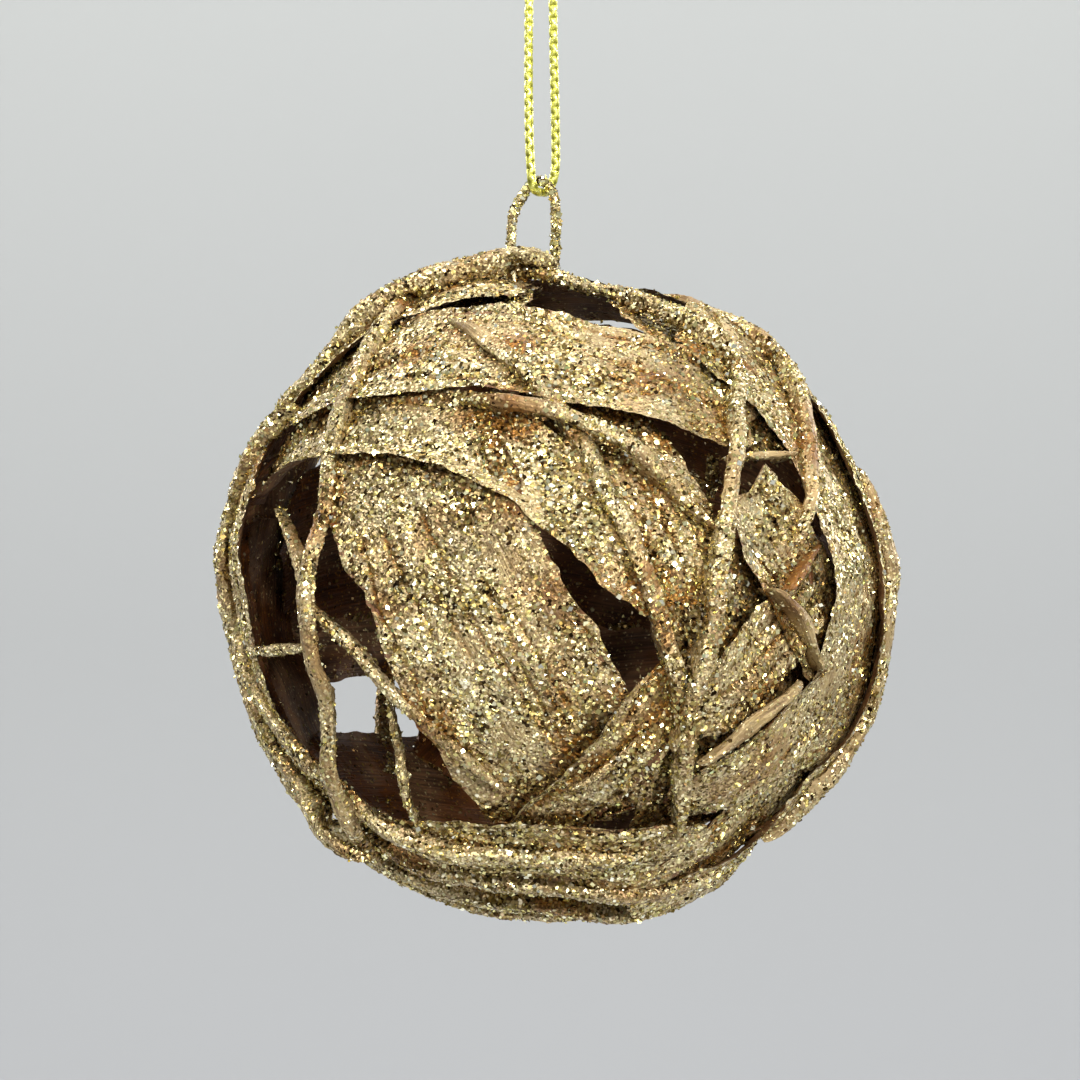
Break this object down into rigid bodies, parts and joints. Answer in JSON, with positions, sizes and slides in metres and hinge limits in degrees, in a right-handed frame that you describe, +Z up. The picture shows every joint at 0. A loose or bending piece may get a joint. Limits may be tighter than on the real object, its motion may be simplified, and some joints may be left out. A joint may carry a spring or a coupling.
{
  "type": "hanging ball ornament",
  "caption": "Hollow openwork hanging ball wound from gold-glittered bark strips and vine strands, with a wire eye on top and a metallic cord loop through it.",
  "frame": {"origin": "inside top of the cord loop, just under its knot, where a hook or a branch carries the ornament", "axes": "+Z up along the hanging line; the side with the large centre leaf faces -Y; +X to the right as seen from that side"},
  "size_m": [0.081, 0.0755, 0.1208],
  "materials": {
    "glittered_bark": "thin bark strips under a dense coat of gold glitter, bare and brown in places",
    "glittered_vine": "split vine strands under gold glitter, bare tan fibre on some faces",
    "glittered_wire": "round wire under gold glitter",
    "metallic_cord": "braided metallic yellow-gold thread"
  },
  "bodies": {
    "root": {"back_leaf_upper": "glittered_bark", "back_leaf_middle": "glittered_bark", "back_leaf_lower": "glittered_bark", "back_leaf_bottom": "glittered_bark", "bottom_leaf": "glittered_bark", "left_back_leaf": "glittered_bark", "right_back_leaf": "glittered_bark", "back_leaf_side": "glittered_bark", "crown_leaf": "glittered_bark", "centre_leaf": "glittered_bark", "right_inner_leaf": "glittered_bark", "upper_right_band": "glittered_bark", "bottom_left_band": "glittered_bark", "bottom_front_band": "glittered_bark", "right_middle_band": "glittered_bark", "lower_middle_band": "glittered_bark", "fold_band": "glittered_bark", "right_leaf": "glittered_bark", "lower_right_band_1": "glittered_bark", "lower_right_band_2": "glittered_bark", "lower_right_band_3": "glittered_bark", "lower_right_band_4": "glittered_bark", "bottom_band": "glittered_bark", "crown_band": "glittered_bark", "curved_band": "glittered_bark", "upper_band": "glittered_bark", "shoulder_leaf": "glittered_bark", "left_rim_band": "glittered_bark", "right_limb_band": "glittered_bark", "right_rim_band": "glittered_bark", "cross_twig": "glittered_vine", "side_twig": "glittered_vine", "brown_twig": "glittered_vine", "lower_twig": "glittered_vine", "fold_twig": "glittered_vine", "opening_strand": "glittered_vine", "leaf_edge_strand": "glittered_vine", "left_inner_strand": "glittered_vine", "bottom_strand_1": "glittered_vine", "bottom_strand_2": "glittered_vine", "diagonal_strand": "glittered_vine", "fibre_strand": "glittered_vine", "drop_strand": "glittered_vine", "tan_strand_1": "glittered_vine", "tan_strand_2": "glittered_vine", "crown_strand": "glittered_vine", "right_strand": "glittered_vine", "long_left_strand": "glittered_vine", "left_rim_strand": "glittered_vine", "outer_left_strand": "glittered_vine", "right_rim_strand": "glittered_vine", "top_rim_strand": "glittered_vine", "back_strand_1": "glittered_vine", "back_strand_2": "glittered_vine", "back_strand_3": "glittered_vine", "back_band": "glittered_bark", "wire_eye": "glittered_wire", "hanging_cord": "metallic_cord", "cord_knot": "metallic_cord"}
  },
  "joints": []
}
